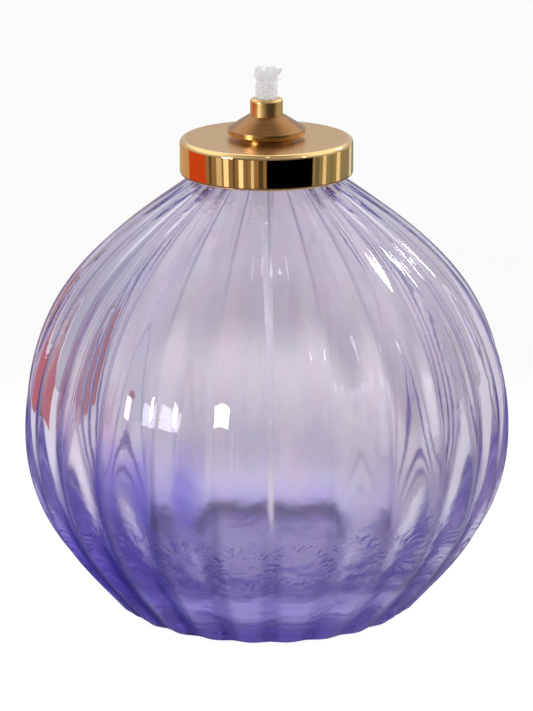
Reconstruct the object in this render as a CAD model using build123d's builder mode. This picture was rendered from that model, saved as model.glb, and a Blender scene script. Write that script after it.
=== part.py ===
from build123d import *
import math
import os

# Table oil lamp: a ribbed glass globe with a threaded brass collar cemented on its neck,
# a brass screw cap, and a loose wick holder that stands in the hole of the cap.
# Millimetres. +Z is up, and the origin is the middle of the foot, on the table.

os.makedirs("parts", exist_ok=True)

# ---- driving dimensions -------------------------------------------------------------
# globe
RIBS = 24                       # lobes round the globe
RIB_TURN = 360 / RIBS
GROOVE_START = -88.6            # bearing of one groove, in degrees
FOOT_R = 30.0                   # crest radius at the table
BELLY_R = 49.55                 # greatest crest radius
BELLY_H = 40.5                  # height of the greatest radius
SHOULDER_H = 90.2               # top of the ribbed globe, where the plain neck starts
NECK_R = 13.2
NECK_BORE_R = 11.0
NECK_TOP = 94.4
WALL = 3.0                      # from the crest of a rib to the smooth inside
FLOOR_H = 6.0                   # inside floor of the globe
FLOOR_R = 8.0                   # flat middle of the floor
PUNT_R = 21.0                   # hollow under the foot
PUNT_RISE = 1.6

# height, crest radius and groove depth of each ring of the ribbed outline
RINGS = [
    (0.0, FOOT_R, 0.9),
    (6.0, 35.4, 1.1),
    (13.5, 41.7, 1.3),
    (27.0, 48.3, 1.5),
    (BELLY_H, BELLY_R, 1.5),
    (54.0, 47.1, 1.4),
    (67.6, 40.2, 1.2),
    (79.3, 28.7, 0.8),
    (SHOULDER_H, 13.9, 0.3),
]

# radius and height of the round bottom of the inside, between its floor and its wall
BOWL = [(14.0, 6.8), (22.0, 8.7), (31.0, 13.0), (38.6, 20.0)]

# cap
CAP_R = 17.5
CAP_TOP = 97.4
CAP_BOTTOM = 90.15
CAP_PLATE = 1.2                 # thickness of the top
CAP_BORE_R = 16.5               # inside of the skirt, the root of its thread
CAP_RIM = 1.0                   # rounded upper edge
SKIRT_EDGE = 0.6                # rounded lower edge
HOLE_EDGE = 0.25                # broken edge of the hole
CAP_HOLE_R = 4.1                # the wick tube stands loosely in it
PLATE_UNDER = CAP_TOP - CAP_PLATE

# collar on the neck
COLLAR_R = 15.6                 # root of the collar's thread
COLLAR_BORE_R = 14.2
COLLAR_BOTTOM = 90.5
COLLAR_TOP = 95.2
COLLAR_LIP_R = 11.4             # bore of the lip that covers the rim of the glass

# thread of collar and cap, a right-hand trapezoid
PITCH = 1.8
THREAD_DEPTH = 0.6
THREAD_ROOT = 0.45              # half of the width at the root
THREAD_CREST = 0.15             # half of the width at the crest
THREAD_SINK = 0.3               # how far the root is sunk in its wall
MALE_START = 91.3               # height of the collar thread's first point
MALE_TURNS = 1.75
FEMALE_START = MALE_START + PITCH / 2
FEMALE_TURNS = 1.0

# gasket between the collar and the top of the cap
GASKET_R = 15.4
GASKET_BORE_R = 11.8

# wick holder and wick
BOSS_R = 5.4                    # rests on the cap round its hole
BOSS_H = 0.85
FLANGE_R = 7.85
FLANGE_RIM = 1.15               # height of the upright rim
FLANGE_EDGE = 0.35              # rounded edges of the rim
CONE_FOOT_R = 7.45              # where the cone meets the flange
CONE_TOP_R = 3.6
CONE_RISE = 2.7
CONE_BULGE = 0.2                # how far its side stands out of a straight line
TUBE_R = 3.3
TUBE_TOP = 105.5
TUBE_BOTTOM = 88.0
TUBE_EDGE = 0.7                 # rounded mouth
TUBE_CHAMFER = 0.3              # lower end
WICK_R = 2.3
WICK_GAP = 0.06                 # running fit of the wick in its tube
WICK_TOP = 112.3
WICK_BOTTOM = 9.0
WICK_END = 0.7                  # rounded ends


def polar(radius, bearing):
    """A point on a circle, from its bearing in degrees."""
    angle = math.radians(bearing)
    return (radius * math.cos(angle), radius * math.sin(angle))


def finish(piece, name):
    """Label a finished piece and write its file."""
    piece.part.label = name
    export_step(piece.part, f"parts/{name}.step")


# ---- glass globe ----------------------------------------------------------------------
with BuildPart() as glass_globe:
    for height, crest, groove in RINGS:
        with BuildSketch(Plane.XY.offset(height)):
            with BuildLine():
                for rib in range(RIBS):
                    bearing = GROOVE_START + rib * RIB_TURN
                    ThreePointArc(
                        polar(crest - groove, bearing),
                        polar(crest, bearing + RIB_TURN / 2),
                        polar(crest - groove, bearing + RIB_TURN),
                    )
            make_face()
    loft()
    with BuildSketch(Plane.XY.offset(SHOULDER_H)):
        Circle(NECK_R)
    extrude(amount=NECK_TOP - SHOULDER_H)
    # smooth inside, one wall in from the crests
    with BuildSketch(Plane.XZ):
        with BuildLine():
            floor_edge = (FLOOR_R, FLOOR_H)
            bore_foot = (NECK_BORE_R, SHOULDER_H - 1)
            bore_top = (NECK_BORE_R, NECK_TOP + 1)
            wall = [(crest - WALL, height) for height, crest, groove in RINGS[4:-1]]
            Spline(floor_edge, *BOWL, *wall, bore_foot)
            Polyline(bore_foot, bore_top, (0, NECK_TOP + 1), (0, FLOOR_H), floor_edge)
        make_face()
    revolve(axis=Axis.Z, mode=Mode.SUBTRACT)
    # punt, a shallow hollow with a flat middle under the foot
    with BuildSketch(Plane.XZ):
        with BuildLine():
            punt_flat = (0.6 * PUNT_R, PUNT_RISE)
            ThreePointArc((PUNT_R, 0), (0.85 * PUNT_R, 0.75 * PUNT_RISE), punt_flat)
            Polyline(punt_flat, (0, PUNT_RISE), (0, 0), (PUNT_R, 0))
        make_face()
    revolve(axis=Axis.Z, mode=Mode.SUBTRACT)
finish(glass_globe, "glass_globe")

# ---- plaster ring between the neck and the collar ----------------------------------------
with BuildPart() as neck_cement:
    with BuildSketch(Plane.XY.offset(SHOULDER_H)):
        Circle(COLLAR_BORE_R)
        Circle(NECK_R, mode=Mode.SUBTRACT)
    extrude(amount=NECK_TOP - SHOULDER_H)
finish(neck_cement, "neck_cement")

# ---- threaded brass collar ---------------------------------------------------------------
male_path = Helix(PITCH, PITCH * MALE_TURNS, COLLAR_R, center=(0, 0, MALE_START))
with BuildPart() as male_thread:
    with BuildSketch(Plane(origin=male_path @ 0, x_dir=(1, 0, 0), z_dir=male_path % 0)):
        with BuildLine():
            Polyline(
                (-THREAD_SINK, -THREAD_ROOT),
                (THREAD_DEPTH, -THREAD_CREST),
                (THREAD_DEPTH, THREAD_CREST),
                (-THREAD_SINK, THREAD_ROOT),
                close=True,
            )
        make_face()
    sweep(path=male_path, is_frenet=True)

with BuildPart() as neck_collar:
    with BuildSketch(Plane.XY.offset(COLLAR_BOTTOM)):
        Circle(COLLAR_R)
        Circle(COLLAR_BORE_R, mode=Mode.SUBTRACT)
    extrude(amount=NECK_TOP - COLLAR_BOTTOM)
    with BuildSketch(Plane.XY.offset(NECK_TOP)):
        Circle(COLLAR_R)
        Circle(COLLAR_LIP_R, mode=Mode.SUBTRACT)
    extrude(amount=COLLAR_TOP - NECK_TOP)
    add(male_thread.part)
finish(neck_collar, "neck_collar")

# ---- slip gasket under the cap -------------------------------------------------------------
with BuildPart() as cap_gasket:
    with BuildSketch(Plane.XY.offset(COLLAR_TOP)):
        Circle(GASKET_R)
        Circle(GASKET_BORE_R, mode=Mode.SUBTRACT)
    extrude(amount=PLATE_UNDER - COLLAR_TOP)
finish(cap_gasket, "cap_gasket")

# ---- brass screw cap -----------------------------------------------------------------------
female_path = Helix(PITCH, PITCH * FEMALE_TURNS, CAP_BORE_R, center=(0, 0, FEMALE_START))
with BuildPart() as female_thread:
    with BuildSketch(Plane(origin=female_path @ 0, x_dir=(-1, 0, 0), z_dir=female_path % 0)):
        with BuildLine():
            Polyline(
                (-THREAD_SINK, -THREAD_ROOT),
                (THREAD_DEPTH, -THREAD_CREST),
                (THREAD_DEPTH, THREAD_CREST),
                (-THREAD_SINK, THREAD_ROOT),
                close=True,
            )
        make_face()
    sweep(path=female_path, is_frenet=True)

with BuildPart() as brass_cap:
    with BuildSketch(Plane.XY.offset(CAP_BOTTOM)):
        Circle(CAP_R)
    extrude(amount=CAP_TOP - CAP_BOTTOM)
    top_edge = brass_cap.faces().sort_by(Axis.Z)[-1].edges()
    fillet(top_edge, radius=CAP_RIM)
    with BuildSketch(Plane.XY.offset(CAP_BOTTOM)):
        Circle(CAP_BORE_R)
    extrude(amount=PLATE_UNDER - CAP_BOTTOM, mode=Mode.SUBTRACT)
    with BuildSketch(Plane.XY.offset(PLATE_UNDER)):
        Circle(CAP_HOLE_R)
    extrude(amount=CAP_PLATE, mode=Mode.SUBTRACT)
    top_edges = brass_cap.faces().filter_by(Plane.XY).sort_by(Axis.Z)[-1].edges()
    chamfer(top_edges.sort_by(SortBy.RADIUS)[0], length=HOLE_EDGE)
    skirt_edges = brass_cap.faces().filter_by(Plane.XY).sort_by(Axis.Z)[0].edges()
    fillet(skirt_edges.sort_by(SortBy.RADIUS)[-1], radius=SKIRT_EDGE)
    add(female_thread.part)
finish(brass_cap, "brass_cap")

# ---- wick holder: turned flange and cone, pressed on its tube ---------------------------------
with BuildPart() as holder_cone:
    flange_under = CAP_TOP + BOSS_H
    flange_top = flange_under + FLANGE_RIM
    cone_top = flange_top + CONE_RISE
    with BuildSketch(Plane.XZ) as holder_outline:
        with BuildLine():
            Polyline(
                (CONE_FOOT_R, flange_top),
                (FLANGE_R, flange_top),
                (FLANGE_R, flange_under),
                (BOSS_R, flange_under),
                (BOSS_R, CAP_TOP),
                (TUBE_R, CAP_TOP),
                (TUBE_R, cone_top),
                (CONE_TOP_R, cone_top),
            )
            SagittaArc((CONE_TOP_R, cone_top), (CONE_FOOT_R, flange_top), CONE_BULGE)
        make_face()
        fillet(holder_outline.vertices().group_by(Axis.X)[-1], radius=FLANGE_EDGE)
    revolve(axis=Axis.Z)
finish(holder_cone, "holder_cone")

with BuildPart() as wick_tube:
    with BuildSketch(Plane.XY.offset(TUBE_BOTTOM)):
        Circle(TUBE_R)
        Circle(WICK_R + WICK_GAP, mode=Mode.SUBTRACT)
    extrude(amount=TUBE_TOP - TUBE_BOTTOM)
    outer_edges = wick_tube.edges().filter_by(GeomType.CIRCLE).sort_by(SortBy.RADIUS)[-2:].sort_by(Axis.Z)
    fillet(outer_edges[1], radius=TUBE_EDGE)
    chamfer(outer_edges[0], length=TUBE_CHAMFER)
finish(wick_tube, "wick_tube")

# ---- glass-fibre wick -----------------------------------------------------------------------
with BuildPart() as glass_fibre_wick:
    with BuildSketch(Plane.XY.offset(WICK_BOTTOM)):
        Circle(WICK_R)
    extrude(amount=WICK_TOP - WICK_BOTTOM)
    fillet(glass_fibre_wick.edges().filter_by(GeomType.CIRCLE), radius=WICK_END)
finish(glass_fibre_wick, "glass_fibre_wick")
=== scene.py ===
import bpy
import bmesh
import math
import random
import numpy as np
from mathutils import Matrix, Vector


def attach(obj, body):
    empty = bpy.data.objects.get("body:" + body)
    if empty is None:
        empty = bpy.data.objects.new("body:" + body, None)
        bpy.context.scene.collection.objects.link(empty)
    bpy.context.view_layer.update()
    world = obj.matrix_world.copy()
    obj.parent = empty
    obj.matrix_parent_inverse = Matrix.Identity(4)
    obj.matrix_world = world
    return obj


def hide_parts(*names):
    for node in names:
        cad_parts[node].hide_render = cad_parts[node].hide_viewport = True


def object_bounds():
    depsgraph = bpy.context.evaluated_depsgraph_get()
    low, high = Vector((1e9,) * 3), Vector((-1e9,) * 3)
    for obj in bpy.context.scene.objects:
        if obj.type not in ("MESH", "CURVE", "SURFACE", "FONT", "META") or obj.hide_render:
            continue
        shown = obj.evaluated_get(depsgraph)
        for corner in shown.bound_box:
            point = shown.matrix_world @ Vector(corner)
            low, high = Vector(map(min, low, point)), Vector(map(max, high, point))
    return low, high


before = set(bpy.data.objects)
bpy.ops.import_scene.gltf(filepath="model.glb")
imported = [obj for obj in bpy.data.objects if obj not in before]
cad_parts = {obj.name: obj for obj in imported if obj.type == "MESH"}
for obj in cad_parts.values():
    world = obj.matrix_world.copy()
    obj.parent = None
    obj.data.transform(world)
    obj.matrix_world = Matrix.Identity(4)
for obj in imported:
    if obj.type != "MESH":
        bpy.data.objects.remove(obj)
CAD_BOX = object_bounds()
MM = 0.001


# ---------------------------------------------------------------- node helpers
def empty_tree(owner):
    """The node tree of a material or a world, emptied."""
    owner.use_nodes = True
    owner.node_tree.nodes.clear()
    return owner.node_tree


def new_material(name):
    """A node material with its Principled shader and its output, and nothing else."""
    material = bpy.data.materials.new(name)
    tree = empty_tree(material)
    output = tree.nodes.new("ShaderNodeOutputMaterial")
    shader = tree.nodes.new("ShaderNodeBsdfPrincipled")
    tree.links.new(shader.outputs["BSDF"], output.inputs["Surface"])
    return material, tree, shader, output


def node(tree, kind, inputs=None, **settings):
    """A node with its settings and its inputs, each a value or a socket to link."""
    made = tree.nodes.new(kind)
    for key, value in settings.items():
        setattr(made, key, value)
    for key, value in (inputs or {}).items():
        if isinstance(value, bpy.types.NodeSocket):
            tree.links.new(value, made.inputs[key])
        else:
            made.inputs[key].default_value = value
    return made


def maths(tree, operation, first, second=0.0, third=0.0):
    """The result of one maths node."""
    return node(tree, "ShaderNodeMath", {0: first, 1: second, 2: third}, operation=operation).outputs[0]


def length(tree, first, second):
    """The length of a vector with these two parts."""
    squares = [maths(tree, "POWER", part, 2.0) for part in (first, second)]
    return maths(tree, "SQRT", maths(tree, "ADD", *squares))


def remap(tree, value, start, end, low=0.0, high=1.0, smooth=False):
    """A value moved from the range start..end to low..high, and held at its ends."""
    inputs = {"Value": value, "From Min": start, "From Max": end, "To Min": low, "To Max": high}
    easing = "SMOOTHSTEP" if smooth else "LINEAR"
    return node(tree, "ShaderNodeMapRange", inputs, interpolation_type=easing).outputs[0]


def scaled_by(tree, vector, factors):
    """A vector times a number, or times a number for each of its parts."""
    if isinstance(factors, tuple):
        return node(tree, "ShaderNodeVectorMath", {0: vector, 1: factors}, operation="MULTIPLY").outputs[0]
    return node(tree, "ShaderNodeVectorMath", {0: vector, "Scale": factors}, operation="SCALE").outputs[0]


def noise(tree, place, scale, detail, roughness=0.5, dimensions="3D"):
    """Cloudy noise at a place in space, or along a line when dimensions is 1D."""
    inputs = {"W" if dimensions == "1D" else "Vector": place,
              "Scale": scale, "Detail": detail, "Roughness": roughness}
    return node(tree, "ShaderNodeTexNoise", inputs, noise_dimensions=dimensions).outputs["Fac"]


def mix_colours(tree, factor, first, second, blend="MIX"):
    """The first colour where the factor is 0 and the second, or its product with the first, where it is 1."""
    inputs = {0: factor, 6: first, 7: second}
    return node(tree, "ShaderNodeMix", inputs, data_type="RGBA", blend_type=blend).outputs[2]


def relief(tree, shader, height, distance, strength=1.0):
    """Gives a shader the relief of a height, which is distance metres deep."""
    made = node(tree, "ShaderNodeBump", {"Strength": strength, "Distance": distance, "Height": height})
    tree.links.new(made.outputs[0], shader.inputs["Normal"])


def ramp(tree, factor, stops, interpolation="LINEAR"):
    """A colour ramp through (position, colour) stops."""
    made = node(tree, "ShaderNodeValToRGB", {"Fac": factor})
    made.color_ramp.interpolation = interpolation
    elements = made.color_ramp.elements
    while len(elements) < len(stops):
        elements.new(0.5)
    for element, (position, colour) in zip(elements, stops):
        element.position = position
        element.color = (*colour, 1.0)
    return made.outputs["Color"]


def object_place(tree):
    """Object coordinates in millimetres: the vector, x, y, z, and the radius from the lamp's axis."""
    coords = node(tree, "ShaderNodeTexCoord").outputs["Object"]
    scaled = scaled_by(tree, coords, 1.0 / MM)
    x, y, z = node(tree, "ShaderNodeSeparateXYZ", {0: scaled}).outputs
    return scaled, x, y, z, length(tree, x, y)


# ---------------------------------------------------------------- mesh helpers
def add_object(name, verts, faces, material, sharp_degrees=30.0):
    """A smooth-shaded object, with sharp edges where its faces turn by more than sharp_degrees."""
    mesh = bpy.data.meshes.new(name)
    mesh.from_pydata([tuple(v) for v in verts], [], faces)
    mesh.validate()
    built = bmesh.new()
    built.from_mesh(mesh)
    bmesh.ops.recalc_face_normals(built, faces=built.faces)
    built.to_mesh(mesh)
    built.free()
    mesh.shade_smooth()
    mesh.set_sharp_from_angle(angle=math.radians(sharp_degrees))
    mesh.materials.append(material)
    piece = bpy.data.objects.new(name, mesh)
    bpy.context.scene.collection.objects.link(piece)
    return piece


def join(*parts):
    """Several (verts, faces) as one."""
    verts = []
    faces = []
    for part_verts, part_faces in parts:
        start = len(verts)
        verts += list(part_verts)
        faces += [tuple(start + i for i in face) for face in part_faces]
    return verts, faces


def stand_in(name, shape, material, node_name, body, sharp_degrees=30.0):
    """A finished piece that rides on a body in place of a CAD node."""
    piece = add_object(name, *shape, material, sharp_degrees)
    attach(piece, body)
    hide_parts(node_name)
    return piece


def rounded(points, radii, steps=6):
    """An outline in (radius, height) with its corners rounded by arcs, as a list of points."""
    outline = []
    count = len(points)
    for index, (corner, radius) in enumerate(zip(points, radii)):
        if radius == 0:
            outline.append(corner)
            continue
        here = Vector(corner)
        before = (Vector(points[index - 1]) - here).normalized()
        after = (Vector(points[(index + 1) % count]) - here).normalized()
        half = before.angle(after) / 2
        reach = radius / math.tan(half)
        centre = here + (before + after).normalized() * radius / math.sin(half)
        start = here + before * reach - centre
        end = here + after * reach - centre
        sweep = start.angle_signed(end)
        for step in range(steps + 1):
            turn = -sweep * step / steps
            outline.append((
                centre.x + start.x * math.cos(turn) - start.y * math.sin(turn),
                centre.y + start.x * math.sin(turn) + start.y * math.cos(turn),
            ))
    return outline


def polar(radius, angle, height):
    """A point in metres from cylindrical coordinates in millimetres."""
    return radius * math.cos(angle) * MM, radius * math.sin(angle) * MM, height * MM


def bridge(first, second, around):
    """Faces between two closed rows of points, each row given by its first point's number."""
    faces = []
    for s in range(around):
        t = (s + 1) % around
        faces.append((first + s, first + t, second + t, second + s))
    return faces


def skin(rows, around):
    """Faces over rows of points one after the other, with a face at each end."""
    faces = []
    for i in range(rows - 1):
        faces += bridge(i * around, (i + 1) * around, around)
    last = (rows - 1) * around
    return faces + [tuple(range(around))[::-1], tuple(range(last, last + around))]


def lathe(outline, segments=256):
    """A closed outline of (radius, height) points in millimetres turned about the lamp's axis."""
    verts = [polar(radius, 2 * math.pi * s / segments, height)
             for radius, height in outline for s in range(segments)]
    faces = []
    for i in range(len(outline)):
        faces += bridge(i * segments, (i + 1) % len(outline) * segments, segments)
    return verts, faces


def thread_ridge(wall_r, start, turns, outward):
    """One helical ridge that fades out at both ends, its root sunk in a wall of radius wall_r.

    outward is 1 for a ridge on the outside of the wall and -1 for one on its inside.
    """
    steps = int(turns * 120)
    fade = 12
    verts = []
    for i in range(steps + 1):
        grow = min(1.0, i / fade, (steps - i) / fade)
        angle = 2 * math.pi * turns * i / steps
        height = start + THREAD_PITCH * turns * i / steps
        crest_r = wall_r + outward * (THREAD_DEPTH * grow - THREAD_SINK * (1 - grow))
        root_r = wall_r - outward * THREAD_SINK
        profile = ((root_r, -THREAD_ROOT), (crest_r, -THREAD_CREST),
                   (crest_r, THREAD_CREST), (root_r, THREAD_ROOT))
        verts += [polar(radius, angle, height + rise) for radius, rise in profile]
    return verts, skin(steps + 1, 4)


def tube(path, radii, around, twist=0.0, ribs=0, rib_depth=0.0):
    """A closed tube along a path of points, with its own radius at each and ribs that twist along it."""
    verts = []
    side = Vector((1.0, 0.3, 0.1))
    last = len(path) - 1
    for i, (point, radius) in enumerate(zip(path, radii)):
        forward = (path[min(i + 1, last)] - path[max(i - 1, 0)]).normalized()
        side = (side - forward * side.dot(forward)).normalized()
        up = forward.cross(side)
        for s in range(around):
            angle = 2 * math.pi * s / around
            ripple = 1.0 - rib_depth * abs(math.sin(0.5 * ribs * angle + twist * i))
            verts.append((point + (side * math.cos(angle) + up * math.sin(angle)) * radius * ripple) * MM)
    return verts, skin(len(path), around)


# ---------------------------------------------------------------- glass globe
RIBS = 24
RIB_STEPS = 20                  # points across one rib
GROOVE_START = math.radians(-88.6)
# height, crest radius and groove depth, in millimetres, of the ribbed outline
RINGS = [
    (0.0, 30.0, 0.9), (6.0, 35.4, 1.1), (13.5, 41.7, 1.3), (27.0, 48.3, 1.5), (40.5, 49.55, 1.5),
    (54.0, 47.1, 1.4), (67.6, 40.2, 1.2), (79.3, 28.7, 0.8), (90.2, 13.9, 0.3),
]
OUTSIDE_LOOPS = 120
INSIDE_LOOPS = 130
WALL = 3.0                      # from the crest of a rib to the inside
INNER_RIB = 0.45                # how far the inside follows the ribs
OUTER_STREAK = 0.003            # height of the upright waves of the outside
INNER_STREAK = 0.008            # and of the inside
CLEARANCE = 0.03                # keeps those waves within the outline
GROOVE_SHARP = 0.3              # 1 is a sharp groove, 0 a wave
# radius and height of the round bottom of the inside
BOWL = [(0.3, 6.0), (8.0, 6.05), (14.0, 6.8), (22.0, 8.7), (31.0, 13.0), (38.6, 20.0)]
NECK_R = 13.2
NECK_BORE = 11.0
NECK_TOP = 94.4
FOOT_ROUND = 1.2                # rounded edge of the foot
PUNT_R = 21.0                   # hollow under the foot
PUNT_RISE = 1.6


def smooth_curve(knots, values):
    """Natural cubic spline through the knots, as a function of numpy arrays."""
    x = np.array(knots, float)
    y = np.array(values, float)
    h = np.diff(x)
    size = len(x)
    system = np.eye(size)
    right = np.zeros(size)
    for i in range(1, size - 1):
        system[i, i - 1:i + 2] = h[i - 1], 2 * (h[i - 1] + h[i]), h[i]
        right[i] = 6 * ((y[i + 1] - y[i]) / h[i] - (y[i] - y[i - 1]) / h[i - 1])
    bend = np.linalg.solve(system, right)

    def evaluate(at):
        at = np.asarray(at, float)
        i = np.clip(np.searchsorted(x, at) - 1, 0, size - 2)
        a = x[i + 1] - at
        b = at - x[i]
        return (
            (bend[i] * a ** 3 + bend[i + 1] * b ** 3) / (6 * h[i])
            + (y[i] / h[i] - bend[i] * h[i] / 6) * a
            + (y[i + 1] / h[i] - bend[i + 1] * h[i] / 6) * b
        )

    return evaluate


def rib_wave(turn):
    """0 on the crest of a rib and 1 in the groove: a round lobe with a narrow soft groove."""
    across = np.abs(np.mod(turn, 1.0) * 2 - 1)
    lobe = across ** 2
    valley = (1 - np.cos(np.pi * across)) / 2
    return GROOVE_SHARP * lobe + (1 - GROOVE_SHARP) * valley


def streak_wave(rng, lowest, highest, size, count=16):
    """Faint upright waves round the wall, as blown glass has, as a function of bearing and height."""
    waves = []
    for _ in range(count):
        number = int(rng.integers(lowest, highest))
        waves.append((number, rng.uniform(0, 2 * math.pi), rng.uniform(-1.5, 1.5), size * lowest / number))

    def evaluate(angles, height):
        share = height / NECK_TOP
        return sum(size_here * np.sin(number * angles + phase + drift * math.sin(3.0 * share + phase))
                   for number, phase, drift, size_here in waves)

    return evaluate


def build_globe(material):
    """Loops of points from the middle of the punt up the outside, over the neck and down the inside."""
    rng = np.random.default_rng(11)
    heights, crests, depths = zip(*RINGS)
    crest = smooth_curve(heights, crests)
    groove = smooth_curve(heights, depths)
    around = RIBS * RIB_STEPS
    turns = np.arange(around) / RIB_STEPS
    angles = GROOVE_START + turns * 2 * math.pi / RIBS
    depth_of_rib = rng.uniform(0.85, 1.0, RIBS)
    groove_share = np.abs(np.mod(turns, 1.0) * 2 - 1)
    rib = turns.astype(int) % RIBS
    neighbour = np.where(np.mod(turns, 1.0) < 0.5, (rib - 1) % RIBS, (rib + 1) % RIBS)
    uneven = (depth_of_rib[rib] + depth_of_rib[neighbour]) / 2
    wave = rib_wave(turns) * (1 + (uneven - 1) * groove_share)
    outer_streaks = streak_wave(rng, 30, 90, OUTER_STREAK)
    inner_streaks = streak_wave(rng, 24, 110, INNER_STREAK)
    loops = []

    def add_loop(radii, height):
        loops.append(np.stack([radii * np.cos(angles), radii * np.sin(angles), np.full(around, height)], 1))

    ones = np.ones(around)
    # under the foot: punt, flat ring, rounded edge
    for r, z in ((0.3, PUNT_RISE), (0.6 * PUNT_R, PUNT_RISE), (0.75 * PUNT_R, 0.93 * PUNT_RISE),
                 (0.85 * PUNT_R, 0.72 * PUNT_RISE), (0.94 * PUNT_R, 0.3 * PUNT_RISE), (PUNT_R, 0.0)):
        add_loop(ones * r, z)
    for step in range(5):
        turn = math.radians(13.5 * step)
        radii = crest(0) - groove(0) * wave - FOOT_ROUND * (1 - math.sin(turn)) * 0.9
        add_loop(radii, FOOT_ROUND * (1 - math.cos(turn)))
    # ribbed outside
    shoulder = heights[-1]
    for z in np.linspace(1.6, shoulder, OUTSIDE_LOOPS):
        add_loop(crest(z) - groove(z) * wave - CLEARANCE + outer_streaks(angles, z), z)
    # neck: its root, its outside, its lip and its bore
    for r, z in ((NECK_R + 0.25, shoulder + 0.05), (NECK_R, shoulder + 0.4),
                 (NECK_R, NECK_TOP - 0.5), (NECK_R - 0.15, NECK_TOP - 0.1), (NECK_R - 0.5, NECK_TOP),
                 (NECK_BORE + 0.5, NECK_TOP), (NECK_BORE + 0.1, NECK_TOP - 0.15),
                 (NECK_BORE, NECK_TOP - 0.5), (NECK_BORE, shoulder + 0.2)):
        add_loop(ones * r, z)
    # inside, from the neck down to the middle of the floor
    first_inner = len(loops)
    knots = [(NECK_BORE, shoulder - 1.0)] + [(c - WALL, h) for h, c, _ in RINGS[-2:3:-1]] + BOWL[::-1]
    steps = [math.dist(a, b) for a, b in zip(knots, knots[1:])]
    travel = np.concatenate([[0.0], np.cumsum(steps)])
    inner_r = smooth_curve(travel, [r for r, z in knots])
    inner_z = smooth_curve(travel, [z for r, z in knots])
    for along in np.linspace(0.0, travel[-1], INSIDE_LOOPS):
        z = float(inner_z(along))
        ribbing = INNER_RIB * groove(z) * wave * min(1.0, max(0.0, (z - 8.0) / 12.0))
        fade = min(1.0, float(inner_r(along)) / 30.0)
        add_loop(ones * inner_r(along) - ribbing + fade * inner_streaks(angles, z), z)
    shape = np.concatenate(loops) * MM, skin(len(loops), around)
    globe = stand_in("ribbed_globe", shape, material, "glass_globe", "globe", 60.0)
    inner = globe.data.attributes.new("inner", "FLOAT", "POINT")
    is_inner = np.repeat(np.arange(len(loops)) >= first_inner, around)
    inner.data.foreach_set("value", is_inner.astype(np.float32))


# how the glass is tinted from its foot, at 0, to its neck, at 1; the deeper left, the paler right and the
# darker bands part way up are painted shade
TINT_AND_SHADE_LEFT = [
    (0.0, (0.06, 0.03, 0.68)), (0.10, (0.14, 0.09, 0.74)), (0.20, (0.44, 0.37, 0.79)),
    (0.28, (0.76, 0.72, 0.80)), (0.40, (0.81, 0.775, 0.80)), (0.58, (0.79, 0.77, 0.82)),
    (0.72, (0.62, 0.60, 0.71)), (0.85, (0.62, 0.60, 0.72)), (1.0, (0.78, 0.76, 0.82)),
]
TINT_AND_SHADE_RIGHT = [
    (0.0, (0.50, 0.45, 0.86)), (0.06, (0.68, 0.65, 0.87)), (0.10, (0.72, 0.70, 0.87)),
    (0.15, (0.74, 0.71, 0.82)), (0.22, (0.80, 0.78, 0.84)), (0.30, (0.88, 0.865, 0.87)),
    (0.38, (0.92, 0.905, 0.88)), (0.50, (0.66, 0.635, 0.66)), (0.66, (0.79, 0.76, 0.79)),
    (1.0, (0.78, 0.75, 0.795)),
]
WALL_ROUGHNESS = 0.02           # of the inside, which the mould does not polish
FOOT_ROUGHNESS = 0.38           # of the inside near its floor
GROOVE_SHADE_COLOUR = (0.006, 0.001, 0.24)      # painted shade: the deep blue lines in the grooves
SCALLOP_WALL_R = 38.0           # radius of the wall where the scallops lie
SCALLOP_Z = 20.0                # the lowest scallop's middle
SCALLOP_SHIFT = 2.5             # how much higher another one may be
SCALLOP_R = 4.2                 # from its middle to its wrinkles
SCALLOP_WIDTH = 1.1             # of its ring of wrinkles, over which they fade


def rib_turn(tree, x, y):
    """The bearing counted in ribs, whole in a groove, and never negative."""
    ribs_per_radian = RIBS / (2 * math.pi)
    angle = maths(tree, "ARCTAN2", y, x)
    return maths(tree, "MULTIPLY_ADD", angle, ribs_per_radian, RIBS - GROOVE_START * ribs_per_radian)


def chill_marks(tree, x, y, z):
    """Scallops of fine radial wrinkles, one on the foot of each rib, as a height."""
    turn = rib_turn(tree, x, y)
    rib = maths(tree, "FLOOR", turn)
    shift = node(tree, "ShaderNodeTexWhiteNoise", {"W": rib}, noise_dimensions="1D").outputs["Value"]
    across = maths(tree, "SUBTRACT", maths(tree, "FRACT", turn), 0.5)
    u = maths(tree, "MULTIPLY", across, 2 * math.pi * SCALLOP_WALL_R / RIBS)
    v = maths(tree, "SUBTRACT", z, maths(tree, "MULTIPLY_ADD", shift, SCALLOP_SHIFT, SCALLOP_Z))
    warp = noise(tree, node(tree, "ShaderNodeCombineXYZ", {0: u, 1: v, 2: rib}).outputs[0], 0.5, 2.0)
    warped = maths(tree, "MULTIPLY", warp, 16.0)
    spokes = maths(tree, "SINE", maths(tree, "MULTIPLY_ADD", maths(tree, "ARCTAN2", v, u), 19.0, warped))
    offset = maths(tree, "SUBTRACT", length(tree, u, v), SCALLOP_R)
    offset = maths(tree, "DIVIDE", offset, SCALLOP_WIDTH)
    fall = maths(tree, "MULTIPLY", maths(tree, "MULTIPLY", offset, offset), -1.0)
    return maths(tree, "MULTIPLY", spokes, maths(tree, "EXPONENT", fall))


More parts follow.
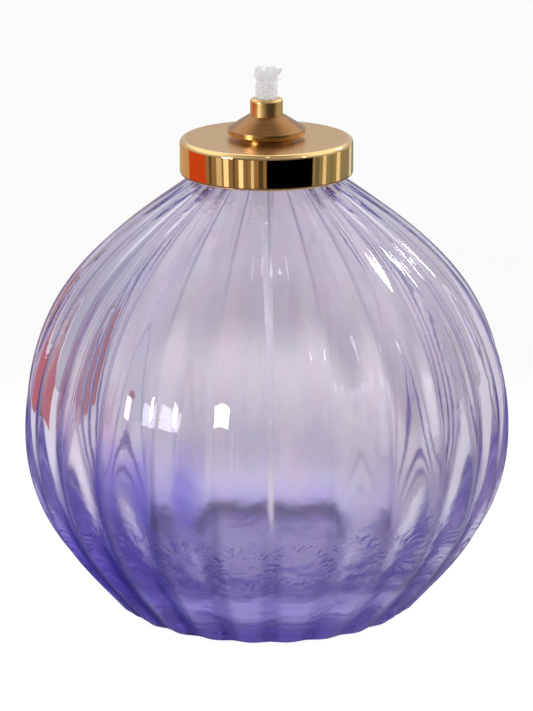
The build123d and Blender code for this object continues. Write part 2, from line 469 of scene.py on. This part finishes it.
def groove_shade_share(tree, x, y, z, inner):
    """How much of the painted groove shade the outside shows: more at the foot, at the sides and on a slanted
    wall.
    """
    turn = maths(tree, "FRACT", rib_turn(tree, x, y))
    across = maths(tree, "ABSOLUTE", maths(tree, "MULTIPLY_ADD", turn, 2.0, -1.0))
    width = remap(tree, z, 8.0, 60.0, 0.62, 0.14)
    edge = maths(tree, "SUBTRACT", 1.0, width)
    core = maths(tree, "MULTIPLY_ADD", width, -0.35, 1.0)
    band = remap(tree, across, edge, core, smooth=True)
    facing = node(tree, "ShaderNodeLayerWeight", {"Blend": 0.5}).outputs["Facing"]
    slant = remap(tree, facing, 0.05, 0.30, smooth=True)
    foot = remap(tree, z, 4.0, 60.0, 1.0, 0.5)
    left = remap(tree, x, -30.0, 20.0, 1.0, 0.35)
    right = remap(tree, x, 20.0, 42.0, 0.35, 0.8)
    neck = remap(tree, z, 62.0, 86.0, 0.2, 0.6)
    low_share = maths(tree, "MULTIPLY", foot, maths(tree, "MAXIMUM", left, right))
    share = maths(tree, "MAXIMUM", low_share, neck)
    amount = maths(tree, "MULTIPLY", maths(tree, "MULTIPLY", band, slant), share)
    return maths(tree, "MULTIPLY", amount, maths(tree, "SUBTRACT", 1.0, inner))


def glass_material():
    """Violet glass: absorbed along its thickness, tinted more to the foot, with pink and blue streaks, and
    with painted shade: a deeper left side, darker bands and dark blue lines in the grooves.
    """
    material, tree, shader, output = new_material("violet_glass")
    scaled, x, y, z, _ = object_place(tree)
    inner = node(tree, "ShaderNodeAttribute", attribute_name="inner").outputs["Fac"]
    shader.inputs["Transmission Weight"].default_value = 1.0
    shader.inputs["IOR"].default_value = 1.5
    # from the foot to the neck, with the tint of the foot lower on the right; this and the deeper left are
    # painted shade
    low = maths(tree, "MULTIPLY_ADD", z, 1.0 / NECK_TOP, remap(tree, x, 8.0, 44.0, 0.0, 0.14))
    to_right = remap(tree, x, -38.0, -10.0, smooth=True)
    left, right = (ramp(tree, low, stops, "EASE") for stops in (TINT_AND_SHADE_LEFT, TINT_AND_SHADE_RIGHT))
    tint = mix_colours(tree, to_right, left, right)
    streak = noise(tree, scaled_by(tree, scaled, (1.0, 1.0, 0.07)), 0.22, 4.0, 0.6)
    hue = ramp(tree, streak, [
        (0.34, (0.93, 0.965, 1.0)), (0.50, (1.0, 1.0, 1.0)), (0.64, (1.0, 0.93, 0.965))])
    toned = mix_colours(tree, 1.0, tint, hue, "MULTIPLY")
    # painted shade: deep blue lines laid along the grooves
    groove_shaded = mix_colours(tree, groove_shade_share(tree, x, y, z, inner), toned, (*GROOVE_SHADE_COLOUR, 1.0))
    tree.links.new(groove_shaded, shader.inputs["Base Color"])
    haze = remap(tree, z, 14.0, 50.0, FOOT_ROUGHNESS, WALL_ROUGHNESS, smooth=True)
    tree.links.new(maths(tree, "MULTIPLY", inner, haze), shader.inputs["Roughness"])
    # the glass is wavy, most of all inside the foot, where it also has its chill marks
    waviness = remap(tree, z, 14.0, 38.0, 3.0, 0.12, smooth=True)
    waviness = maths(tree, "MAXIMUM", maths(tree, "MULTIPLY", waviness, inner), 0.12)
    waves = maths(tree, "MULTIPLY", noise(tree, scaled, 0.22, 2.0), waviness)
    wrinkles = maths(tree, "MULTIPLY", chill_marks(tree, x, y, z), inner)
    relief(tree, shader, maths(tree, "MULTIPLY_ADD", wrinkles, 0.16, waves), 0.00025)
    volume = node(tree, "ShaderNodeVolumeAbsorption", {"Color": (0.25, 0.083, 0.78, 1.0), "Density": 23.0})
    tree.links.new(volume.outputs[0], output.inputs["Volume"])
    return material


# ---------------------------------------------------------------- brass
CAP_R = 17.5
CAP_TOP = 97.4
CAP_BOTTOM = 90.15
CAP_UNDER = 96.2                # underside of the cap's plate
CAP_BORE_R = 16.5
CAP_RIM = 1.0                   # rounded upper edge
CAP_HOLE_R = 4.1
FLANGE_R = 7.85                 # of the holder
FLANGE_UNDER = 98.25
FLANGE_TOP = 99.4
BOSS_R = 5.4                    # step under the flange, which rests on the cap
CONE_FOOT_R = 7.62
CONE_TOP_R = 3.6
CONE_TOP = 102.1
CONE_BULGE = 0.08               # how far the cone's side swells out
TUBE_R = 3.3
TUBE_BORE_R = 2.36
TUBE_TOP = 105.5
TUBE_BOTTOM = 88.0
COLLAR_R = 15.6
COLLAR_BORE_R = 14.2
COLLAR_LIP_R = 11.4
COLLAR_BOTTOM = 90.5
COLLAR_TOP = 95.2
THREAD_PITCH = 1.8
THREAD_START = 91.3
THREAD_DEPTH = 0.6
THREAD_ROOT = 0.45              # half its width at the root
THREAD_CREST = 0.15             # and at the crest
THREAD_SINK = 0.3               # how far the root lies in the wall


def brass_material(name, polished, satin, satin_mask, marks_along, marks_depth, tones, satin_tone):
    """Turned brass, of roughness polished where the mask is 0 and satin, with turning marks, where it is 1.

    satin_mask(tree, z, radius) gives the mask. marks_along is the direction that the tool moved in: z,
    radius or both. tones are the darker and the lighter colour of the polished metal.
    """
    material, tree, shader, _ = new_material(name)
    scaled, _, _, z, radius = object_place(tree)
    shader.inputs["Metallic"].default_value = 1.0
    mask = satin_mask(tree, z, radius)
    along = radius if marks_along == "radius" else z
    if marks_along == "both":
        along = maths(tree, "MULTIPLY_ADD", z, 1.7, radius)
    fine = noise(tree, along, 9.0, 5.0, 0.7, "1D")
    broad = noise(tree, along, 1.1, 2.0, 0.5, "1D")
    cloud = noise(tree, scaled, 0.16, 5.0, 0.6)
    specks = noise(tree, scaled, 2.6, 8.0, 0.75)
    dark, light = tones
    shiny = ramp(tree, cloud, [(0.36, dark), (0.64, light)])
    worked = ramp(tree, specks, [(0.40, tuple(0.90 * c for c in satin_tone)), (0.60, satin_tone)])
    tree.links.new(mix_colours(tree, mask, shiny, worked), shader.inputs["Base Color"])
    smooth = remap(tree, cloud, 0.3, 0.7, polished * 0.7, polished * 1.5)
    matt = remap(tree, fine, 0.3, 0.7, satin * 0.8, satin * 1.2)
    rough = node(tree, "ShaderNodeMix", {"Factor": mask, "A": smooth, "B": matt}, data_type="FLOAT")
    tree.links.new(rough.outputs[0], shader.inputs["Roughness"])
    marks = maths(tree, "MULTIPLY_ADD", specks, 0.25, maths(tree, "MULTIPLY_ADD", broad, 0.6, fine))
    relief(tree, shader, marks, marks_depth, maths(tree, "MULTIPLY_ADD", mask, 0.9, 0.10))
    return material


def cap_top_mask(tree, z, radius):
    """1 on the flat top of the cap, 0 on its polished rim and skirt."""
    high = remap(tree, z, CAP_TOP - 0.03, CAP_TOP - 0.005)
    flat_r = CAP_R - CAP_RIM
    return maths(tree, "MULTIPLY", high, remap(tree, radius, flat_r - 0.1, flat_r, 1.0, 0.0))


def holder_mask(tree, z, radius):
    """1 on the cone, 0.35 on the flange's rim below it."""
    return remap(tree, z, FLANGE_TOP - 0.3, FLANGE_TOP, 0.35, 1.0)


def tube_mask(tree, z, radius):
    """A little wear round the tube's mouth, where the wick has burned."""
    return remap(tree, z, TUBE_TOP - 1.2, TUBE_TOP, 0.12, 0.35)


def collar_mask(tree, z, radius):
    """Dull all over, since nothing has polished it."""
    return remap(tree, z, COLLAR_BOTTOM, COLLAR_TOP, 0.7, 0.9)


def build_cap():
    outline = rounded(
        [(CAP_HOLE_R, CAP_TOP), (CAP_R, CAP_TOP), (CAP_R, CAP_BOTTOM), (CAP_BORE_R, CAP_BOTTOM),
         (CAP_BORE_R, CAP_UNDER), (CAP_HOLE_R, CAP_UNDER)],
        [0.25, CAP_RIM, 0.6, 0.15, 0.2, 0.15], steps=10)
    ridge = thread_ridge(CAP_BORE_R, THREAD_START + THREAD_PITCH / 2, 1.0, -1)
    material = brass_material("polished_brass", 0.045, 0.27, cap_top_mask, "radius", 0.00002,
                              ((0.80, 0.52, 0.22), (0.86, 0.58, 0.26)), (0.63, 0.37, 0.13))
    stand_in("turned_cap", join(lathe(outline), ridge), material, "brass_cap", "cap")


def build_holder():
    side = []
    run = Vector((CONE_TOP_R - CONE_FOOT_R, CONE_TOP - FLANGE_TOP))
    out = Vector((run.y, -run.x)).normalized()
    for step in range(1, 12):
        share = step / 12
        point = Vector((CONE_FOOT_R, FLANGE_TOP)) + run * share + out * CONE_BULGE * 4 * share * (1 - share)
        side.append((point.x, point.y))
    outline = rounded(
        [(TUBE_R, CAP_TOP), (BOSS_R, CAP_TOP), (BOSS_R, FLANGE_UNDER), (FLANGE_R, FLANGE_UNDER),
         (FLANGE_R, FLANGE_TOP), (CONE_FOOT_R, FLANGE_TOP), *side,
         (CONE_TOP_R, CONE_TOP), (TUBE_R, CONE_TOP)],
        [0, 0.1, 0.1, 0.12, 0.14, 0, *([0] * len(side)), 0.12, 0])
    material = brass_material("satin_brass", 0.09, 0.24, holder_mask, "both", 0.00002,
                              ((0.78, 0.48, 0.17), (0.84, 0.54, 0.21)), (0.34, 0.165, 0.06))
    stand_in("turned_holder", lathe(outline, 192), material, "holder_cone", "holder")


def build_tube():
    outline = rounded(
        [(TUBE_BORE_R, TUBE_TOP), (TUBE_R, TUBE_TOP), (TUBE_R, TUBE_BOTTOM), (TUBE_BORE_R, TUBE_BOTTOM)],
        [0.2, 0.65, 0.3, 0.1], steps=8)
    material = brass_material("tube_brass", 0.26, 0.3, tube_mask, "z", 0.00001,
                              ((0.82, 0.52, 0.19), (0.88, 0.58, 0.24)), (0.66, 0.42, 0.18))
    stand_in("drawn_tube", lathe(outline, 128), material, "wick_tube", "holder")


def build_collar():
    outline = rounded(
        [(COLLAR_LIP_R, COLLAR_TOP), (COLLAR_R, COLLAR_TOP), (COLLAR_R, COLLAR_BOTTOM),
         (COLLAR_BORE_R, COLLAR_BOTTOM), (COLLAR_BORE_R, NECK_TOP), (COLLAR_LIP_R, NECK_TOP)],
        [0.2, 0.3, 0.1, 0.1, 0.05, 0.1])
    ridge = thread_ridge(COLLAR_R, THREAD_START, 1.75, 1)
    material = brass_material("collar_brass", 0.2, 0.3, collar_mask, "both", 0.00002,
                              ((0.70, 0.45, 0.18), (0.80, 0.53, 0.23)), (0.66, 0.43, 0.18))
    shape = join(lathe(outline), ridge)
    stand_in("threaded_collar", shape, material, "neck_collar", "globe")


# ---------------------------------------------------------------- plaster ring and gasket
CEMENT_BOTTOM = 90.2
GASKET_R = 15.4
GASKET_BORE_R = 11.8


def grained_material(name, dark, light, scale, roughness, depth):
    """A matt material with clouds, grains and pits."""
    material, tree, shader, _ = new_material(name)
    scaled, *_ = object_place(tree)
    cloud = noise(tree, scaled, 0.25 * scale, 5.0)
    grain = noise(tree, scaled, 4.0 * scale, 8.0, 0.7)
    pits = node(tree, "ShaderNodeTexVoronoi", {"Vector": scaled, "Scale": 1.6 * scale}).outputs["Distance"]
    blend = maths(tree, "MULTIPLY_ADD", grain, 0.5, maths(tree, "MULTIPLY", cloud, 0.5))
    tree.links.new(ramp(tree, blend, [(0.35, dark), (0.62, light)]), shader.inputs["Base Color"])
    rough = remap(tree, grain, 0.3, 0.7, roughness - 0.1, roughness + 0.08)
    tree.links.new(rough, shader.inputs["Roughness"])
    height = maths(tree, "MULTIPLY_ADD", maths(tree, "MINIMUM", pits, 0.3), 1.2, grain)
    relief(tree, shader, height, depth, 0.8)
    return material


def build_cement():
    outline = rounded([(NECK_R, NECK_TOP), (COLLAR_BORE_R, NECK_TOP),
                       (COLLAR_BORE_R, CEMENT_BOTTOM), (NECK_R, CEMENT_BOTTOM)], [0.05, 0.05, 0.2, 0.2])
    material = grained_material("plaster", (0.62, 0.59, 0.53), (0.80, 0.78, 0.73), 1.0, 0.88, 0.00012)
    stand_in("plaster_ring", lathe(outline), material, "neck_cement", "globe")


def build_gasket():
    outline = rounded([(GASKET_BORE_R, CAP_UNDER), (GASKET_R, CAP_UNDER),
                       (GASKET_R, COLLAR_TOP), (GASKET_BORE_R, COLLAR_TOP)], [0.25, 0.25, 0.25, 0.25])
    material = grained_material("gasket_rubber", (0.018, 0.018, 0.020), (0.045, 0.044, 0.046),
                                1.6, 0.62, 0.00003)
    stand_in("slip_washer", lathe(outline), material, "cap_gasket", "gasket")


# ---------------------------------------------------------------- wick
WICK_R = 2.3
WICK_TOP = 112.3
WICK_BOTTOM = 9.25              # clear of the floor of the globe when the wick is pushed down
SPREAD_FROM = 108.6             # the wick keeps its round below this, so that it can be drawn into the tube
STRANDS = 9
LOOSE_FIBRES = 170


def fibre_and_glow_material():
    """White glass fibre: fine bright and grey filaments along the strands, with a painted glow."""
    material, tree, shader, _ = new_material("glass_fibre")
    scaled, _, _, z, _ = object_place(tree)
    hairs = noise(tree, scaled_by(tree, scaled, (6.0, 6.0, 0.9)), 1.6, 6.0, 0.7)
    cloud = noise(tree, scaled, 0.7, 3.0)
    blend = maths(tree, "MULTIPLY_ADD", cloud, 0.35, maths(tree, "MULTIPLY", hairs, 0.65))
    tint = ramp(tree, blend, [
        (0.34, (0.78, 0.77, 0.80)), (0.50, (0.92, 0.91, 0.92)), (0.68, (0.97, 0.97, 0.97))])
    tree.links.new(tint, shader.inputs["Base Color"])
    tree.links.new(remap(tree, hairs, 0.3, 0.7, 0.45, 0.7), shader.inputs["Roughness"])
    shader.inputs["Sheen Weight"].default_value = 0.25
    # painted light: the fibre glows in its own colour, more of it lower down, within the globe
    tree.links.new(tint, shader.inputs["Emission Color"])
    tree.links.new(remap(tree, z, 104.0, 86.0, 0.16, 0.36), shader.inputs["Emission Strength"])
    relief(tree, shader, hairs, 0.0001, 0.7)
    return material


def braided_core():
    """The round braid: two sets of strands that wind opposite ways, over and under."""
    around = 96
    rows = 620
    starts = 8
    lead = 11.0                 # height of one full turn of a strand
    top = SPREAD_FROM + 0.6
    verts = []
    for i in range(rows + 1):
        z = WICK_BOTTOM + (top - WICK_BOTTOM) * i / rows
        turn = 2 * math.pi * z / lead
        end = min(1.0, (z - WICK_BOTTOM) / 0.7, (top - z) / 0.6)
        for s in range(around):
            angle = 2 * math.pi * s / around
            right = abs(math.sin(0.5 * starts * (angle - turn)))
            left = abs(math.sin(0.5 * starts * (angle + turn)))
            weave = math.sin(starts * angle) * math.sin(starts * turn)
            over = 0.5 + 0.5 * max(-1.0, min(1.0, 2.5 * weave))
            lobe = over * right + (1 - over) * left
            r = (WICK_R - 0.34 * (1 - lobe)) * (1.0 - 0.30 * (1 - max(0.0, end)) ** 2)
            verts.append(polar(r, angle, z))
    return verts, skin(rows + 1, around)


def strand_end(rng, bearing_degrees, lean, top, girth, hook):
    """The free end of one strand of the braid, which leans out and curls over at its tip by hook."""
    angle = math.radians(bearing_degrees)
    out = Vector((math.cos(angle), math.sin(angle), 0.0))
    across = Vector((-out.y, out.x, 0.0))
    sway = rng.uniform(-0.35, 0.35)
    path = []
    radii = []
    steps = 26
    foot = SPREAD_FROM - 1.4
    for i in range(steps + 1):
        share = i / steps
        rise = max(0.0, (share - 0.25) / 0.75)
        reach = 1.15 + lean * rise ** 1.4 + hook * max(0.0, share - 0.72) * 3.0
        drop = hook * 1.3 * max(0.0, share - 0.8) ** 1.2
        height = foot + (top - foot) * share - drop
        path.append(out * reach + across * sway * rise + Vector((0.0, 0.0, height)))
        swell = math.sin(math.pi * min(1.0, 0.35 + 0.6 * share))
        tip = math.sqrt(max(0.03, 1.0 - max(0.0, (share - 0.80) / 0.205) ** 2))
        radii.append(girth * (0.72 + 0.38 * swell) * tip)
    return tube(path, radii, 28, twist=0.10, ribs=9, rib_depth=0.20)


def loose_fibres(rng, count):
    """Fine filaments that stand out of the torn end."""
    shapes = []
    for _ in range(count):
        angle = rng.uniform(0, 2 * math.pi)
        out = Vector((math.cos(angle), math.sin(angle), 0.0))
        across = Vector((-out.y, out.x, 0.0))
        height = rng.uniform(SPREAD_FROM + 0.2, WICK_TOP - 0.9)
        reach = rng.uniform(1.2, 2.3)
        span = rng.uniform(0.5, 1.3)
        point = out * reach + Vector((0.0, 0.0, height))
        heading = (out * rng.uniform(0.1, 0.9) + across * rng.uniform(-0.6, 0.6)
                   + Vector((0.0, 0.0, rng.uniform(0.35, 1.2)))).normalized()
        bend = Vector((rng.uniform(-1, 1), rng.uniform(-1, 1), rng.uniform(-0.8, 0.5))) * 0.25
        path = []
        for _ in range(6):
            path.append(point.copy())
            point = point + heading * span / 5
            heading = (heading + bend).normalized()
            point.z = min(point.z, WICK_TOP - 0.08)
        shapes.append(tube(path, [0.045, 0.045, 0.04, 0.035, 0.028, 0.015], 4))
    return join(*shapes)


def build_wick():
    rng = random.Random(7)
    material = fibre_and_glow_material()
    stand_in("braided_wick", braided_core(), material, "glass_fibre_wick", "wick", 180.0)
    ends = []
    for k in range(STRANDS):
        bearing_degrees = 360 * k / STRANDS + rng.uniform(-9, 9)
        to_right = math.cos(math.radians(bearing_degrees))
        lean = rng.uniform(0.65, 0.95) + 0.25 * max(0.0, -to_right)
        top = WICK_TOP - rng.uniform(0.15, 0.9) - 0.3 * max(0.0, -to_right)
        hook = 1.5 if to_right > 0.85 else rng.uniform(-0.5, 0.15)
        ends.append(strand_end(rng, bearing_degrees, lean, top, rng.uniform(0.78, 0.98), hook))
    middle = [Vector((0.25 * math.sin(0.9 * i), 0.2 * math.cos(1.1 * i), SPREAD_FROM - 1.0 + 0.42 * i))
              for i in range(10)]
    ends.append(tube(middle, [1.5, 1.5, 1.45, 1.4, 1.35, 1.3, 1.2, 1.05, 0.8, 0.3], 28, 0.2, 9, 0.2))
    tuft = add_object("torn_end", *join(*ends), material, 180.0)
    hairs = add_object("loose_fibres", *loose_fibres(rng, LOOSE_FIBRES), material, 180.0)
    for piece in (tuft, hairs):
        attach(piece, "wick")


# ---------------------------------------------------------------- floor, light and camera
FLOOR_GAP = 0.00005             # keeps the foot of the glass from sharing a plane with the floor
LIGHTS_AIM = Vector((0.0, 0.0, 0.05))
CAMERA_PLACE = Vector((0.0, -0.826, 0.277))
CAMERA_AIM = Vector((0.0, 0.0, 0.0519))
# start and end bearing in degrees, and strength, of the bright and dark edges of the room
ROOM_EDGES = [
    (-80, -76, 0.10), (-68, -60, 0.75), (-57, -50, 1.35), (-44, -41, 0.12), (-36, -30, 1.4),
    (-27, -24, 0.2), (-20, -16, 0.9), (-10, -4, 0.08), (66, 72, 0.18), (78, 84, 0.95),
    (92, 96, 0.25), (104, 112, 1.0), (124, 130, 0.3), (140, 150, 0.9),
]


def bearing(degrees, distance, height):
    """A place at a bearing from the camera's side of the lamp, positive to its right, in metres."""
    angle = math.radians(degrees)
    return Vector((math.sin(angle) * distance, -math.cos(angle) * distance, height))


def softbox(name, degrees, elevation, distance, width, height, radiance):
    """A white rectangular area light that faces the lamp, given by the radiance of its face."""
    data = bpy.data.lights.new(name, "AREA")
    data.shape = "RECTANGLE"
    data.size = width
    data.size_y = height
    data.energy = radiance * math.pi * width * height
    lamp = bpy.data.objects.new(name, data)
    bpy.context.scene.collection.objects.link(lamp)
    rise = math.radians(elevation)
    lamp.location = bearing(degrees, distance * math.cos(rise), distance * math.sin(rise)) + LIGHTS_AIM
    lamp.rotation_euler = (LIGHTS_AIM - lamp.location).to_track_quat("-Z", "Y").to_euler()
    lamp.visible_camera = False
    lamp.visible_diffuse = False


def flag(name, start, end, distance, high, colour, strength, through_glass=False):
    """A curved card round the lamp, seen in the reflections of the brass or only through the glass."""
    material = bpy.data.materials.new(name)
    tree = empty_tree(material)
    output = tree.nodes.new("ShaderNodeOutputMaterial")
    glow = node(tree, "ShaderNodeEmission", {"Color": (*colour, 1.0), "Strength": strength})
    tree.links.new(glow.outputs[0], output.inputs["Surface"])
    steps = 24
    verts = []
    for i in range(steps + 1):
        degrees = start + (end - start) * i / steps
        verts += [bearing(degrees, distance, 0.0), bearing(degrees, distance, high)]
    faces = [(2 * i, 2 * i + 2, 2 * i + 3, 2 * i + 1) for i in range(steps)]
    card = add_object(name, verts, faces, material)
    card.visible_camera = False
    card.visible_diffuse = False
    card.visible_shadow = False
    card.visible_transmission = through_glass
    card.visible_glossy = not through_glass


def build_world():
    """A pale studio, brighter overhead and dimmer behind the camera."""
    world = bpy.data.worlds.new("studio")
    bpy.context.scene.world = world
    tree = empty_tree(world)
    output = tree.nodes.new("ShaderNodeOutputWorld")
    direction = node(tree, "ShaderNodeTexCoord").outputs["Generated"]
    parts = node(tree, "ShaderNodeSeparateXYZ", {0: direction})
    height = ramp(tree, parts.outputs["Z"], [
        (0.0, (0.66, 0.64, 0.64)), (0.30, (0.66, 0.66, 0.70)), (0.55, (1.45, 1.45, 1.45)),
        (0.82, (1.35, 1.35, 1.35)), (0.95, (0.45, 0.44, 0.43))])
    path = node(tree, "ShaderNodeLightPath")
    front = remap(tree, parts.outputs["Y"], -0.75, 0.1, 0.3, 1.0, smooth=True)
    through = maths(tree, "MULTIPLY", path.outputs["Is Transmission Ray"], 0.9)
    shade = scaled_by(tree, height, maths(tree, "MAXIMUM", front, through))
    room = node(tree, "ShaderNodeBackground", {"Color": shade, "Strength": 1.0})
    plain = node(tree, "ShaderNodeBackground", {"Color": (0.97, 0.97, 0.97, 1.0), "Strength": 1.0})
    mix = node(tree, "ShaderNodeMixShader",
               {0: path.outputs["Is Camera Ray"], 1: room.outputs[0], 2: plain.outputs[0]})
    tree.links.new(mix.outputs[0], output.inputs["Surface"])


def build_floor():
    """A white floor that glows a little, with a painted pool of light round the lamp that dims away from it.
    """
    bpy.ops.mesh.primitive_circle_add(vertices=128, radius=3.0, fill_type="NGON")
    floor = bpy.context.object
    floor.name = "floor"
    floor.location.z = CAD_BOX[0][2] - FLOOR_GAP
    material, tree, shader, _ = new_material("floor")
    shader.inputs["Emission Color"].default_value = (1.0, 1.0, 1.0, 1.0)
    *_, radius = object_place(tree)
    # painted light: the floor glows brighter near the lamp, where its shadow would fall
    glow = remap(tree, radius, 40.0, 200.0, 0.92, 0.64, smooth=True)
    # the floor is dimmer as a mirror image on the glass than it is through the glass
    path = node(tree, "ShaderNodeLightPath")
    mirrored = maths(tree, "MULTIPLY", path.outputs["Is Glossy Ray"],
                     maths(tree, "SUBTRACT", 1.0, path.outputs["Is Transmission Ray"]))
    dimmed = maths(tree, "MULTIPLY", glow, maths(tree, "MULTIPLY_ADD", mirrored, -0.9, 1.0))
    tree.links.new(dimmed, shader.inputs["Emission Strength"])
    tone = ramp(tree, mirrored, [(0.0, (0.38, 0.38, 0.38)), (1.0, (0.05, 0.05, 0.05))])
    tree.links.new(tone, shader.inputs["Base Color"])
    shader.inputs["Roughness"].default_value = 0.9
    shader.inputs["Specular IOR Level"].default_value = 0.1
    floor.data.materials.append(material)


def build_room():
    """The cards and windows that the brass and the glass reflect."""
    flag("black_flag", 0, 62, 0.30, 0.10, (0.0, 0.0, 0.0), 1.0)
    flag("red_flag", -122, -86, 0.30, 0.085, (0.75, 0.10, 0.03), 0.9)
    flag("gold_flag", -180, -122, 0.30, 0.10, (1.0, 0.72, 0.46), 0.62)
    flag("rose_flag", -152, -112, 0.155, 0.050, (0.62, 0.20, 0.22), 1.0, through_glass=True)
    flag("room_left", -86, 0, 0.31, 0.08, (1.0, 0.70, 0.45), 0.34)
    flag("room_right", 62, 180, 0.31, 0.08, (0.95, 1.0, 0.75), 0.32)
    for start, end, strength in ROOM_EDGES:
        flag("room_edge", start, end, 0.305, 0.08, (1.0, 0.97, 0.90), strength)
    softbox("window_left", -53, 10, 1.2, 0.32, 0.20, 22.0)
    softbox("window_right", 56, 36, 1.2, 0.05, 0.12, 10.0)
    softbox("window_top", 8, 82, 1.2, 0.025, 0.16, 12.0)
    softbox("window_back", 130, 31, 1.2, 0.09, 0.20, 18.0)


def build_camera():
    data = bpy.data.cameras.new("camera")
    data.lens = 212.4
    data.sensor_width = 36.0
    data.clip_start = 0.01
    camera = bpy.data.objects.new("camera", data)
    bpy.context.scene.collection.objects.link(camera)
    camera.location = CAMERA_PLACE
    camera.rotation_euler = (CAMERA_AIM - CAMERA_PLACE).to_track_quat("-Z", "Y").to_euler()
    bpy.context.scene.camera = camera


build_globe(glass_material())
build_cap()
build_holder()
build_tube()
build_collar()
build_cement()
build_gasket()
build_wick()
build_world()
build_floor()
build_room()
build_camera()
scene = bpy.context.scene
scene.view_settings.view_transform = "Standard"
scene.cycles.max_bounces = 48
scene.cycles.transmission_bounces = 48
scene.cycles.glossy_bounces = 48
